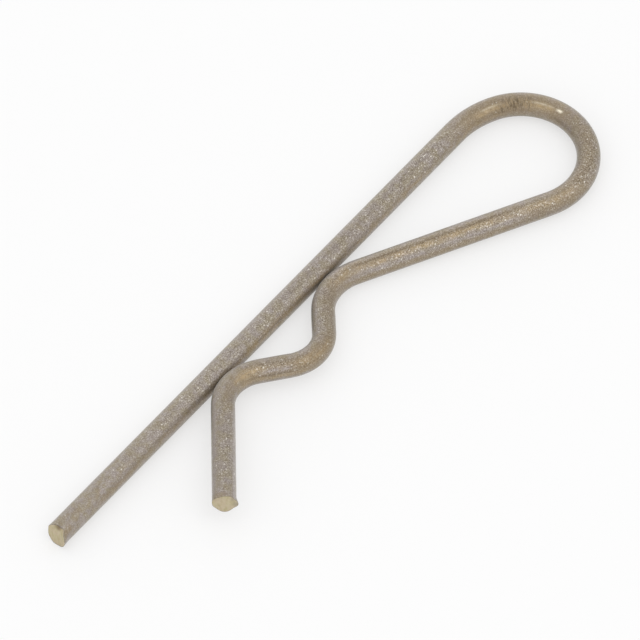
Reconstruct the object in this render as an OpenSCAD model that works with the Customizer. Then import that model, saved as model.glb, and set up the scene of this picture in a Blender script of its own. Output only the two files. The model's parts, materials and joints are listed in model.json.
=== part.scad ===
// Cotter pin of the hairpin kind, also called an R clip: one length of round
// spring wire with a straight leg, an open eye and a formed leg. The straight
// leg goes through the cross hole of a shaft, and the arch of the formed leg
// snaps over the outside of the shaft.
//
// The wire is laid out as it is bent, round a row of pins: each bend is an arc,
// and the wire between two bends is the straight line that touches both arcs.
//
// Units are millimetres. The origin is the centre of the shaft seat, on the
// axis of the straight leg. +X runs along the leg to its tip, +Y goes to the
// formed leg, and +Z is up from the surface that the pin lies on.

/* [Wire] */
// Diameter of the spring wire
wire_d = 2; // [1.6:0.1:2.4]
// How much thinner the wire is drawn down in a tight bend
bend_thinning = 0.02; // [0.016:0.002:0.04]

/* [Straight leg] */
// Length of the straight leg from the shaft seat to the cut tip
leg_to_tip = 27.3; // [18:0.1:40]
// Length of the straight leg from the shaft seat to the bends of the eye
leg_to_eye = 25.9; // [18:0.1:40]

/* [Eye] */
// Inside diameter of the eye
eye_d = 9.1; // [6:0.1:14]
// Inside radius of the gentle bend where the leg runs into the eye
lead_in_r = 7.2; // [5:0.1:12]
// Angle that the gentle bend turns the wire through
lead_in_angle = 30; // [10:1:50]

/* [Formed leg] */
// Clear height between the straight leg and the arch over the shaft
seat_h = 3.4; // [2.6:0.1:5]
// Inside radius of the arch over the shaft
seat_r = 2.4; // [1.5:0.1:3.5]
// Slope of the wire between the first hump and the arch
first_flank_angle = 39.7; // [34:0.1:46]
// Slope of the wire between the arch and the second hump
second_flank_angle = 40.1; // [34:0.1:46]
// Inside radius of the first hump, next to the eye
first_hump_r = 3.6; // [2.5:0.1:4.5]
// Inside radius of the second hump, next to the free end
second_hump_r = 2.7; // [2:0.1:4]
// Gap that is left where a hump rests against the straight leg
hump_gap = 0.03; // [0.02:0.01:0.3]
// Height that the second hump has slipped up the side of the straight leg
hump_ride = 0.5; // [0:0.05:0.9]

/* [Free end] */
// Straight length of the free end
free_end_l = 10.7; // [5:0.1:16]
// Angle between the free end and the straight leg
free_end_angle = 38.5; // [25:0.5:60]

/* [Cut ends] */
// Slant of the cut across the leg tip, seen from above
tip_slant = 3; // [0:0.5:15]
// Lean of the cut at the leg tip, back from the bottom to the top
tip_lean = 9; // [0:0.5:15]
// Radius of the edge that the cutter rolled over at the leg tip
tip_roll_r = 0.2; // [0.1:0.05:0.6]
// How far the cut drew out the corner of the leg tip next to the formed leg
tip_draw_l = 0.25; // [0:0.05:0.5]
// Width of that drawn-out corner
tip_draw_w = 0.5; // [0.2:0.05:0.8]
// Set-back angle of the outer half of the cut at the free end
cut_set_back = 5; // [0:1:30]
// Height of the burr that the cutter left beside the free end
burr_h = 0.16; // [0.05:0.01:0.3]
// Length of that burr along the wire
burr_l = 0.6; // [0.3:0.05:1]
// Width of that burr round the wire
burr_w = 0.9; // [0.4:0.05:1.2]

/* [Hidden] */
$fn = 32;

wire_r = wire_d / 2;
cut_block = 2 * wire_d;

// Each bend runs this far into the wire on either side of it
lap = 0.05;

// Turning senses of a bend, seen from above
LEFT = 1;
RIGHT = -1;

// A heading is the angle from +X of the way that the wire runs
function along(heading) = [cos(heading), sin(heading)];
function left_of(heading) = [-sin(heading), cos(heading)];

// Heading of the straight line that leaves one bend and enters the next
function line_heading(centre_a, turn_a, r_a, centre_b, turn_b, r_b) =
    let (
        reach = centre_b - centre_a,
        offset = turn_b * r_b - turn_a * r_a
    )
    atan2(reach[1], reach[0]) - asin(offset / norm(reach));

// Point on a bend where the wire runs at a heading
function on_bend(centre, turn, r, heading) = centre - turn * r * left_of(heading);

// Length of wire between a bend and the next on a slope, from the rise that is
// left once both bends have taken theirs
function flank_l(rise, r_a, r_b, slope) = (rise - (r_a + r_b) * (1 - cos(slope))) / sin(slope);

// Distance along the leg between the crowns of two bends joined by a slope
function flank_run(rise, r_a, r_b, slope) =
    (r_a + r_b) * sin(slope) + flank_l(rise, r_a, r_b, slope) * cos(slope);

// Bend radii on the axis of the wire
lead_in_axis_r = lead_in_r + wire_r;
eye_axis_r = eye_d / 2 + wire_r;
first_axis_r = first_hump_r + wire_r;
seat_axis_r = seat_r + wire_r;
second_axis_r = second_hump_r + wire_r;

// The straight leg runs back from its tip to the eye, at a heading of 180
leg_heading = 180;
lead_in_heading = leg_heading + RIGHT * lead_in_angle;
lead_in_centre = [-leg_to_eye, lead_in_axis_r];
lead_in_end = on_bend(lead_in_centre, RIGHT, lead_in_axis_r, lead_in_heading);
eye_centre = lead_in_end + RIGHT * eye_axis_r * left_of(lead_in_heading);

// Distance between the axes of two wires that rest against each other
contact = wire_d + hump_gap;
seat_crown = seat_h + wire_d;
seat_centre = [0, seat_crown - seat_axis_r];

first_run = flank_run(seat_crown - contact, first_axis_r, seat_axis_r, first_flank_angle);
first_centre = [-first_run, contact + first_axis_r];
return_heading = line_heading(eye_centre, RIGHT, eye_axis_r, first_centre, LEFT, first_axis_r);
return_start = on_bend(eye_centre, RIGHT, eye_axis_r, return_heading);
return_end = on_bend(first_centre, LEFT, first_axis_r, return_heading);

// The wire past the return leg is turned a little about the return leg's own
// axis, which lifts the second hump onto the side of the straight leg
level_run = flank_run(seat_crown - contact, second_axis_r, seat_axis_r, second_flank_angle);
lift_arm = ([level_run, contact] - return_end) * left_of(return_heading);
formed_twist = asin(hump_ride / lift_arm);
second_reach = sqrt(contact * contact - hump_ride * hump_ride)
    + lift_arm * (1 - cos(formed_twist)) * cos(return_heading);
second_run = flank_run(seat_crown - second_reach, second_axis_r, seat_axis_r, second_flank_angle);
second_centre = [second_run, second_reach + second_axis_r];
free_end_start = on_bend(second_centre, LEFT, second_axis_r, free_end_angle);

// Straight wire from a point, at a heading
module straight(start, heading, length)
    translate([start[0], start[1], 0])
        rotate([0, 90, heading])
            cylinder(d = wire_d, h = length);

// Bent wire round a centre, from one heading to another
module bend(centre, turn, r, from_heading, to_heading, thinning = bend_thinning) {
    lap_angle = lap / r * 180 / PI;
    translate([centre[0], centre[1], 0])
        rotate([0, 0, (turn == LEFT ? from_heading : to_heading) - turn * 90 - lap_angle])
            rotate_extrude(angle = turn * (to_heading - from_heading) + 2 * lap_angle, $fn = 64)
                translate([r, 0])
                    circle(d = wire_d - thinning);
}

// What the cutter took off past the tip: a slanted, leaning face with one corner
// drawn out, and the edge that it rolled over away from the formed leg
module tip_cut()
    translate([leg_to_tip, 0, 0])
        rotate([0, -tip_lean, -tip_slant]) {
            linear_extrude(height = 2 * cut_block, center = true)
                polygon([
                    [0, -cut_block],
                    [0, wire_r - tip_draw_w],
                    [tip_draw_l, wire_r],
                    [tip_draw_l, cut_block],
                    [cut_block, cut_block],
                    [cut_block, -cut_block]
                ]);
            translate([-tip_roll_r, tip_roll_r - wire_r, 0])
                difference() {
                    translate([0, -cut_block, -cut_block])
                        cube([cut_block, cut_block, 2 * cut_block]);
                    cylinder(r = tip_roll_r, h = 3 * cut_block, center = true);
                }
        }

module straight_leg()
    difference() {
        straight([-leg_to_eye, 0], 0, leg_to_eye + leg_to_tip + wire_d);
        tip_cut();
    }

// The eye is open: a gentle bend, then a tighter one round to the return leg
module eye() {
    bend(lead_in_centre, RIGHT, lead_in_axis_r, leg_heading, lead_in_heading, bend_thinning / 2);
    bend(eye_centre, RIGHT, eye_axis_r, lead_in_heading, return_heading);
}

module return_leg()
    straight(return_start, return_heading, norm(return_end - return_start));

// Two humps that press on the straight leg, with the arch over the shaft between
module humps_and_seat() {
    first_flank_start = on_bend(first_centre, LEFT, first_axis_r, first_flank_angle);
    second_flank_start = on_bend(seat_centre, RIGHT, seat_axis_r, -second_flank_angle);
    bend(first_centre, LEFT, first_axis_r, return_heading, first_flank_angle);
    straight(first_flank_start, first_flank_angle,
        flank_l(seat_crown - contact, first_axis_r, seat_axis_r, first_flank_angle));
    bend(seat_centre, RIGHT, seat_axis_r, first_flank_angle, -second_flank_angle);
    straight(second_flank_start, -second_flank_angle,
        flank_l(seat_crown - second_reach, second_axis_r, seat_axis_r, second_flank_angle));
    bend(second_centre, LEFT, second_axis_r, -second_flank_angle, free_end_angle);
}

// Lip of metal dragged out beside the cut, tapering back into the wire
module burr()
    intersection() {
        translate([free_end_l - burr_l, 0, 0])
            rotate([0, 90, 0])
                cylinder(r1 = wire_r, r2 = wire_r + burr_h, h = burr_l);
        translate([free_end_l - burr_l, 0, -burr_w / 2])
            cube([burr_l, wire_d, burr_w]);
    }

// Free end, with the two faces of its pinched cut meeting in an upright ridge
module free_end()
    translate([free_end_start[0], free_end_start[1], 0])
        rotate([0, 0, free_end_angle]) {
            difference() {
                straight([0, 0], 0, free_end_l);
                linear_extrude(height = cut_block, center = true)
                    polygon([
                        [free_end_l, 0],
                        [free_end_l - cut_block * tan(cut_set_back), -cut_block],
                        [free_end_l + cut_block, -cut_block],
                        [free_end_l + cut_block, 0]
                    ]);
            }
            burr();
        }

// Turns what is past the return leg about the return leg's axis
module twist_formed_leg()
    translate([return_end[0], return_end[1], 0])
        rotate(a = formed_twist, v = [along(return_heading)[0], along(return_heading)[1], 0])
            translate([-return_end[0], -return_end[1], 0])
                children();

module cotter_pin()
    color([0.57, 0.54, 0.49])
        union() {
            straight_leg();
            eye();
            return_leg();
            twist_formed_leg() {
                humps_and_seat();
                free_end();
            }
        }

cotter_pin();
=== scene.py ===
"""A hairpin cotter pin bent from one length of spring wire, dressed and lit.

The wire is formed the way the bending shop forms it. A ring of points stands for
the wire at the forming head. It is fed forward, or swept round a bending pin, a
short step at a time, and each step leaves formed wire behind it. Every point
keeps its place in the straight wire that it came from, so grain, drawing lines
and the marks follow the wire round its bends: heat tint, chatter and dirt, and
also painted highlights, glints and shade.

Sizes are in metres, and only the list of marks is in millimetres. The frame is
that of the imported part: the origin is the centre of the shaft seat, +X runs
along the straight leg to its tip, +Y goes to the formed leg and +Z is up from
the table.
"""

import json
import logging
import math
from dataclasses import dataclass, field
from enum import Enum

import bmesh
import bpy
from mathutils import Matrix, Quaternion, Vector


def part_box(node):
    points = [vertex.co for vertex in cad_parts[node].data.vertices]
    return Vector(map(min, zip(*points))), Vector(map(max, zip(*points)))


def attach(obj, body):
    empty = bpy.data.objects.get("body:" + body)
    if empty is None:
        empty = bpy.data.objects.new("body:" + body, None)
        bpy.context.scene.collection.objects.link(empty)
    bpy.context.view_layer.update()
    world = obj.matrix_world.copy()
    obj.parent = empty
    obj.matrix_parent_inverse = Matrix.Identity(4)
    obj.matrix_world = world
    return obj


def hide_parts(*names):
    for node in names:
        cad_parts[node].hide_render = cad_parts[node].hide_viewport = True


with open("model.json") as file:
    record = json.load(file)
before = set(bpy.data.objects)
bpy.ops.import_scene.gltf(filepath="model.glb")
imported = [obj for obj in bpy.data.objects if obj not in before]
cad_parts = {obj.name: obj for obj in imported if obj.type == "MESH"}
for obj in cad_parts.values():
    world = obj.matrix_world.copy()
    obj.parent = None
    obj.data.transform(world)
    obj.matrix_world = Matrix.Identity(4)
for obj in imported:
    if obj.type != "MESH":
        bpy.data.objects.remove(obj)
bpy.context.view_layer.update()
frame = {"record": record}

Socket = bpy.types.NodeSocket
LOG = logging.getLogger("cotter_pin")
MM = 0.001
PART_NODE = "cotter_pin"
STRAIGHT_PLACE = "straight_place"
UP = Vector((0.0, 0.0, 1.0))
ALONG_LEG = Vector((1.0, 0.0, 0.0))

# Points nearer to each other than this are one point
WELD_GAP = 0.0001 * MM
# Points nearer to the plane of a cut than this lie on it
AT_CUT = 0.01 * MM


def heading_vector(angle: float) -> Vector:
    """Unit vector of a heading on the table, an angle in radians from +X."""
    return Vector((math.cos(angle), math.sin(angle), 0.0))


def smooth_step(value: float) -> float:
    """Eases a value from 0 to 1, level at both ends and clamped outside them."""
    share = min(max(value, 0.0), 1.0)
    return share * share * (3.0 - 2.0 * share)


def mount_radius(name: str) -> float:
    """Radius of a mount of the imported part."""
    found = [one for one in frame["record"]["mounts"] if one["name"] == name]
    return found[0]["dims"]["r_mm"] * MM


def angle_apart(first: float, second: float) -> float:
    """Smallest angle in radians between two directions round the wire."""
    return abs((first - second + math.pi) % (2.0 * math.pi) - math.pi)


def put_in_scene(name: str, data: bpy.types.ID) -> bpy.types.Object:
    """Makes an object at the origin that holds the data, and puts it in the scene.

    Args:
        name: Name of the object.
        data: Its mesh, lamp or camera.

    Returns:
        The object.
    """
    made = bpy.data.objects.new(name, data)
    bpy.context.scene.collection.objects.link(made)
    return made


def to_mesh_data(name: str, mesh: bmesh.types.BMesh) -> bpy.types.Mesh:
    """Writes a finished bmesh to mesh data, and frees it.

    Args:
        name: Name of the mesh data.
        mesh: Mesh to write.

    Returns:
        The mesh data.
    """
    data = bpy.data.meshes.new(name)
    mesh.to_mesh(data)
    mesh.free()
    return data


class Turn(Enum):
    """Which way a bend turns the wire, seen from above."""

    LEFT = 1
    RIGHT = -1


class Mark(Enum):
    """Kinds of mark painted on the wire, each a mesh attribute: heat tint, chatter, dirt and open
    grain, and painted highlights, glints, pale bands and shade.
    """

    TEMPER = "temper_tint"
    # Painted straw highlights and reflections, and painted light on shaded sides
    STRAW = "straw_highlight"
    # Painted pale highlight bands, and the skin of the burr on its cut face
    BLOOM = "pale_band_and_burr_skin"
    SPARK = "open_grain"
    # Dirt, and painted shade in dark lines, contact shadows and the dent at the tip
    GRIME_AND_SHADE = "dirt_and_painted_shade"
    # Painted highlight streaks and a painted glint
    GLEAM = "painted_gleam_streaks"
    CHATTER = "pin_chatter"


@dataclass
class WireFormer:
    """The end of the wire at the forming head, with the formed wire behind it.

    Attributes:
        mesh: Mesh that the formed wire is laid down in, a short length at a time.
        place: Centre of the wire at the forming head.
        heading: Unit vector of the way that the wire runs.
        table: Unit normal of the plane that the wire is bent in.
        wire_r: Radius of the straight wire.
        facets: Number of points round the wire.
        pitch: Longest step along the wire.
        fed: Length of wire that has gone through the head.
        steps_held: Most steps that the head holds before it lays the wire down.
        draw_rate: Fastest change of the radius along the wire, as a share for each metre.
        head: Mesh of the length that the head holds.
        layer: Layer of that mesh that keeps each point's place in the straight wire.
        points: Ring of points at the head.
        rim: Edges of that ring.
        drawn_r: Radius of the wire at the head.
        held: Number of steps that the head holds now.
    """

    mesh: bmesh.types.BMesh
    place: Vector
    heading: Vector
    table: Vector
    wire_r: float
    facets: int
    pitch: float
    fed: float
    steps_held: int = 40
    draw_rate: float = 0.025 / MM
    head: bmesh.types.BMesh = field(init=False)
    layer: bmesh.types.BMLayerItem = field(init=False)
    points: list[bmesh.types.BMVert] = field(init=False)
    rim: list[bmesh.types.BMEdge] = field(init=False)
    drawn_r: float = field(init=False)
    held: int = field(init=False, default=0)

    def __post_init__(self) -> None:
        """Threads the first ring of the wire through the forming head."""
        self.head = bmesh.new()
        self.layer = self.head.verts.layers.float_vector.new(STRAIGHT_PLACE)
        made = bmesh.ops.create_circle(self.head, segments=self.facets, radius=self.wire_r)
        self.points = made["verts"]
        self.rim = list({edge for point in self.points for edge in point.link_edges})
        for point in self.points:
            point[self.layer] = (point.co.x, point.co.y, self.fed)
        turned = Matrix((self.left(), self.table, self.heading)).transposed().to_4x4()
        bmesh.ops.transform(
            self.head, matrix=Matrix.Translation(self.place) @ turned, verts=self.points
        )
        self.drawn_r = self.wire_r

    def left(self) -> Vector:
        """Unit vector to the left of the heading, in the bending plane."""
        return self.table.cross(self.heading)

    def feed(self, length: float, pitch: float | None = None) -> None:
        """Feeds straight wire.

        Args:
            length: Length of wire to feed.
            pitch: Length of a step, where it is finer than elsewhere.
        """
        steps = max(1, round(length / (pitch or self.pitch)))
        step = length / steps
        for _ in range(steps):
            made = bmesh.ops.extrude_edge_only(self.head, edges=self.rim)
            self._take_up(made["geom"])
            bmesh.ops.translate(self.head, vec=self.heading * step, verts=self.points)
            self.place = self.place + self.heading * step
            self._finish_step(step, 0.0)

    def bend(self, turn: Turn, axis_r: float, angle: float, thinning: float) -> None:
        """Sweeps the wire round a bending pin.

        Args:
            turn: Side that the pin stands on.
            axis_r: Radius of the bend on the axis of the wire.
            angle: Angle that the wire is turned through, in radians.
            thinning: Share that the bend draws the wire down by.
        """
        pin = self.place + self.left() * (turn.value * axis_r)
        steps = max(1, round(axis_r * angle / self.pitch))
        step = turn.value * angle / steps
        sweep = Quaternion(self.table, step)
        for _ in range(steps):
            made = bmesh.ops.spin(
                self.head, geom=self.points + self.rim, cent=pin, axis=self.table,
                angle=step, steps=1, use_duplicate=False,
            )
            self._take_up(made["geom_last"])
            self.place = pin + sweep @ (self.place - pin)
            self.heading = sweep @ self.heading
            self._finish_step(abs(step) * axis_r, thinning)

    def tilt_table(self, angle: float) -> None:
        """Turns the bending plane about the wire's own axis, right-handed along the heading."""
        self.table = Quaternion(self.heading, angle) @ self.table

    def _take_up(self, made: list) -> None:
        """Makes new mesh parts the ring that is at the forming head."""
        self.points = [item for item in made if isinstance(item, bmesh.types.BMVert)]
        self.rim = [item for item in made if isinstance(item, bmesh.types.BMEdge)]

    def _finish_step(self, step: float, thinning: float) -> None:
        """Draws the ring down or lets it out a little, and notes how far it has run.

        Args:
            step: Length of wire in this step.
            thinning: Share that the wire is drawn down by here.
        """
        wanted = self.wire_r * (1.0 - thinning)
        most = self.wire_r * self.draw_rate * step
        change = min(max(wanted - self.drawn_r, -most), most)
        scale = (self.drawn_r + change) / self.drawn_r
        self.drawn_r += change
        if change:
            bmesh.ops.scale(
                self.head, vec=(scale, scale, scale),
                space=Matrix.Translation(-self.place), verts=self.points,
            )
        self.fed += step
        for point in self.points:
            was = point[self.layer]
            point[self.layer] = (was.x, was.y, self.fed)
        self.held += 1
        if self.held >= self.steps_held:
            self.lay_down()

    def lay_down(self) -> None:
        """Lays the formed length down with the rest, and keeps its last ring in the head."""
        length = bpy.data.meshes.new("formed_length")
        self.head.to_mesh(length)
        self.mesh.from_mesh(length)
        bpy.data.meshes.remove(length)
        kept = set(self.points)
        behind = [point for point in self.head.verts if point not in kept]
        bmesh.ops.delete(self.head, geom=behind, context="VERTS")
        self.held = 0

    def weld(self) -> bmesh.types.BMLayerItem:
        """Lays down the last length and joins all of them into one wire.

        Returns:
            The layer that keeps each point's place in the straight wire.
        """
        self.lay_down()
        self.head.free()
        bmesh.ops.remove_doubles(self.mesh, verts=self.mesh.verts, dist=WELD_GAP)
        return self.mesh.verts.layers.float_vector[STRAIGHT_PLACE]


@dataclass(frozen=True)
class RimShape:
    """A place on the rim of a cut where the cutter moved the metal.

    Attributes:
        at: Direction of its middle, in degrees from the wire's left towards its top.
        arc: Half the angle that it takes up, in degrees.
        depth: How far the metal is moved at its middle.
        reach: Length behind the cut that it fades over, where it is on the side of the wire.
    """

    at: float
    arc: float
    depth: float
    reach: float = 1.0 * MM

    def moved(self, left: float, up: float) -> float:
        """How far it moves the metal, in the direction of a place across the wire."""
        off = angle_apart(math.atan2(up, left), math.radians(self.at))
        return self.depth * smooth_step(1.0 - off / math.radians(self.arc))


@dataclass
class CutEnd:
    """A cut end of the wire, in its own frame.

    Attributes:
        origin: Where the axis of the wire meets the square cut.
        outward: Unit vector out of the end, along the wire.
        left: Unit vector to the left of the wire's run, in its bending plane.
        up: Unit vector up from the bending plane.
        wire_r: Radius of the wire.
        face_shapes: Where metal at the rim is set back, or stands out where its depth is
            less than 0.
        side_shapes: Where metal on the side is pushed out, or in where its depth is less
            than 0.
        level_core: Share of the radius, round the axis, that the shapes of the face leave.
        still_core: Share of the radius, round the axis, that the shapes of the side leave.
        worked_l: Length behind the cut that the cutter reshapes.
        rings: Number of rings of faces across the cut face.
        edge_break: Width of the worn edge round the cut face.
    """

    origin: Vector
    outward: Vector
    left: Vector
    up: Vector
    wire_r: float
    face_shapes: tuple[RimShape, ...] = ()
    side_shapes: tuple[RimShape, ...] = ()
    level_core: float = 0.5
    still_core: float = 0.2
    worked_l: float = 1.2 * MM
    rings: int = 10
    edge_break: float = 0.035 * MM

    def near_rim(self, left: float, up: float) -> float:
        """Share that the rim takes in a place across the wire: 1 on it, 0 in the core."""
        return smooth_step((math.hypot(left, up) - self.level_core) / (1.0 - self.level_core))

    def set_back(self, left: float, up: float) -> float:
        """How far the cut stands behind the square, at a place across the wire in radii."""
        return self.near_rim(left, up) * sum(one.moved(left, up) for one in self.face_shapes)

    def swell(self, left: float, up: float, behind: float) -> float:
        """How far metal is pushed out sideways, at a depth behind the cut."""
        return sum(one.moved(left, up) * smooth_step(1.0 - behind / one.reach)
                   for one in self.side_shapes)

    def local(self, place: Vector) -> tuple[float, float, float]:
        """Place of a point as (left, up, behind the square cut)."""
        offset = place - self.origin
        return offset.dot(self.left), offset.dot(self.up), -offset.dot(self.outward)

    def near(self, mesh: bmesh.types.BMesh, reach: float) -> list[bmesh.types.BMVert]:
        """Points of this stretch of wire, and of no other, that lie near the cut.

        Args:
            mesh: Mesh of the wire.
            reach: Most distance from the plane of the cut.

        Returns:
            The points, on either side of that plane.
        """
        widest = 1.3 * self.wire_r
        found = []
        for point in mesh.verts:
            if (point.co - self.origin).length < reach + widest:
                left, up, behind = self.local(point.co)
                if math.hypot(left, up) < widest and abs(behind) < reach:
                    found.append(point)
        return found

    def cut(self, mesh: bmesh.types.BMesh, layer: bmesh.types.BMLayerItem, fed_at_cut: float,
            outward_sign: int) -> None:
        """Cuts the wire square, closes it with a ringed face and shapes the end.

        Args:
            mesh: Mesh of the wire, which runs past the cut.
            layer: Layer that keeps each point's place in the straight wire.
            fed_at_cut: Length of wire fed at the square cut.
            outward_sign: 1 where feeding went out of this end, -1 where it came in.
        """
        around = self.near(mesh, 2.0 * self.worked_l)
        edges = list({edge for point in around for edge in point.link_edges})
        faces = list({one for point in around for one in point.link_faces})
        bmesh.ops.bisect_plane(
            mesh, geom=around + edges + faces, plane_co=self.origin,
            plane_no=self.outward, clear_outer=True,
        )
        open_rim = {edge for point in self.near(mesh, AT_CUT) for edge in point.link_edges
                    if edge.is_boundary}
        made = bmesh.ops.edgeloop_fill(mesh, edges=list(open_rim), mat_nr=1)
        face = made["faces"][0]
        if face.normal.dot(self.outward) < 0.0:
            bmesh.ops.reverse_faces(mesh, faces=[face])
        width = self.wire_r / (self.rings + 0.5)
        for _ in range(self.rings):
            bmesh.ops.inset_region(mesh, faces=[face], thickness=width, use_even_offset=True)
        bmesh.ops.poke(mesh, faces=[face])
        self._break_edge(mesh)
        for point in self.near(mesh, self.worked_l + AT_CUT):
            left, up, behind = self.local(point.co)
            point[layer] = (left, up, fed_at_cut - outward_sign * behind)
            self._shape_point(point, left, up, behind)

    def _break_edge(self, mesh: bmesh.types.BMesh) -> None:
        """Rounds the edge between the cut face and the side of the wire.

        Args:
            mesh: Mesh of the wire, with the cut closed.
        """
        rim = {edge for point in self.near(mesh, AT_CUT) for edge in point.link_edges
               if len({one.material_index for one in edge.link_faces}) == 2}
        ends = {point for edge in rim for point in edge.verts}
        bmesh.ops.bevel(
            mesh, geom=list(rim) + list(ends), offset=self.edge_break, segments=2,
            profile=0.5, affect="EDGES", material=-1,
        )

    def _shape_point(self, point: bmesh.types.BMVert, left: float, up: float,
                     behind: float) -> None:
        """Moves one point of the square-cut end to where the cutter left it.

        Args:
            point: Point to move.
            left: Its place to the left of the wire's axis.
            up: Its place above that axis.
            behind: How far it lies behind the square cut.
        """
        share = 1.0 - min(max(behind, 0.0) / self.worked_l, 1.0)
        reach = math.hypot(left, up)
        across = (left / self.wire_r, up / self.wire_r)
        point.co -= self.outward * (self.set_back(*across) * share)
        if reach > self.still_core * self.wire_r:
            spread = self.swell(*across, behind) * reach / self.wire_r
            point.co += (self.left * left + self.up * up) / reach * spread


@dataclass
class ShearedTip(CutEnd):
    """Tip of the straight leg: leaning, rolled over on one side and drawn out on the other.

    Attributes:
        face_shapes: Lip beside the rolled edge, dent of the cutter's first bite on top, and
            chip between that dent and the drawn-out corner.
        side_shapes: Squeezed-out side of that corner, shallow end of the dent, and flat that
            the lower jaw pressed below the rolled edge.
        level_core: Share of the radius, round the axis, that the shapes of the face leave.
        slant: Slope of the face across the wire, in radians.
        lean: Slope of the face back to the top, in radians.
        roll_r: Radius of the edge that the cutter rolled over.
        draw_l: How far the cut drew out the corner on the other side.
        draw_w: Width of that drawn-out corner.
    """

    face_shapes: tuple[RimShape, ...] = (
        RimShape(38.0, 42.0, -0.08 * MM),
        RimShape(92.0, 24.0, 0.07 * MM),
        RimShape(123.0, 22.0, 0.2 * MM),
    )
    side_shapes: tuple[RimShape, ...] = (
        RimShape(190.0, 40.0, 0.06 * MM, 0.6 * MM),
        RimShape(88.0, 26.0, -0.049 * MM, 0.3 * MM),
        RimShape(-42.0, 36.0, -0.08 * MM, 0.5 * MM),
    )
    level_core: float = 0.6
    slant: float = math.radians(3.0)
    lean: float = math.radians(9.0)
    roll_r: float = 0.2 * MM
    draw_l: float = 0.25 * MM
    draw_w: float = 0.65 * MM

    def set_back(self, left: float, up: float) -> float:
        """How far the cut stands behind the square.

        Args:
            left: Place to the left of the wire's axis, in radii.
            up: Place above that axis, in radii.

        Returns:
            The distance in metres, less than 0 where metal stands out.
        """
        across, high = left * self.wire_r, up * self.wire_r
        back = across * math.tan(self.slant) + high * math.tan(self.lean)
        over = across - (self.wire_r - self.roll_r)
        if over > 0.0:
            back += self.roll_r - math.sqrt(max(self.roll_r ** 2 - over ** 2, 0.0))
        drawn = -across - (self.wire_r - self.draw_w)
        if drawn > 0.0:
            back -= self.draw_l * drawn / self.draw_w
        return back + super().set_back(left, up)


@dataclass
class PinchedEnd(CutEnd):
    """Free end: two faces that meet in an upright ridge, with a burr beside them.

    Attributes:
        face_shapes: Lip at the top of the cut, and the lower edge that the jaws set back on
            either side of the ridge.
        side_shapes: Burr beside the cut, and the shallow press of the upper jaw on top.
        level_core: Share of the radius, round the axis, that the shapes of the face leave.
        set_back_angle: Slope of the right-hand half of the cut, in radians.
        nick_depth: Depth of the nick where the two cutter jaws met.
        nick_h: Height of that nick, in radii.
        nick_w: Half its width, in radii.
    """

    face_shapes: tuple[RimShape, ...] = (
        RimShape(112.0, 62.0, -0.16 * MM),
        RimShape(225.0, 36.0, 0.1 * MM),
        RimShape(315.0, 36.0, 0.1 * MM),
    )
    side_shapes: tuple[RimShape, ...] = (
        RimShape(-6.875, 34.0, 0.155 * MM, 0.6 * MM),
        RimShape(100.27, 74.485, -0.03 * MM, 0.35 * MM),
    )
    level_core: float = 0.4
    set_back_angle: float = math.radians(5.0)
    nick_depth: float = 0.03 * MM
    nick_h: float = 0.25
    nick_w: float = 0.2

    def set_back(self, left: float, up: float) -> float:
        """How far the cut stands behind the square.

        Args:
            left: Place to the left of the wire's axis, in radii.
            up: Place above that axis, in radii.

        Returns:
            The distance in metres, less than 0 where metal stands out.
        """
        back = max(-left, 0.0) * self.wire_r * math.tan(self.set_back_angle)
        nick = smooth_step((up - 1.0) / self.nick_h + 1.0)
        nick *= smooth_step(1.0 - abs(left) / self.nick_w) * self.near_rim(left, up)
        return back + self.nick_depth * nick + super().set_back(left, up)


@dataclass(frozen=True)
class WireMark:
    """A mark on the wire, soft at its edges, placed in the straight wire.

    Attributes:
        kind: Which mark it is.
        along: Middle of the mark, as a length from the leg tip.
        angle: Direction round the wire, in degrees from its left towards its top.
        half_l: Half the length of the mark along the wire.
        half_w: Half the width of the mark round the wire.
        strength: How strong the mark is at its middle.
        fade: How steeply it fades at its ends. At 1 it fades all the way from its middle.
        skin_from: Depth where it starts, as a share of the wire's radius from the axis.
        skin_l: Share of the radius over which it comes to full strength there.
    """

    kind: Mark
    along: float
    angle: float
    half_l: float
    half_w: float
    strength: float
    fade: float = 1.6
    skin_from: float = 0.5
    skin_l: float = 0.35

    def at(self, left: float, up: float, fed: float, wire_r: float) -> float:
        """Strength of the mark at a place in the straight wire, fading under its skin.

        Args:
            left: Place to the left of the wire's axis.
            up: Place above that axis.
            fed: Length from the leg tip.
            wire_r: Radius of the wire.

        Returns:
            The strength, 0 outside the mark.
        """
        along = abs(fed - self.along) / self.half_l
        if along >= 1.0:
            return 0.0
        turned = angle_apart(math.atan2(up, left), math.radians(self.angle))
        across = turned * wire_r / self.half_w
        skin = (math.hypot(left, up) / wire_r - self.skin_from) / self.skin_l
        return (self.strength * smooth_step(self.fade * (1.0 - along))
                * smooth_step(1.0 - across) * smooth_step(skin))


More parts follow.
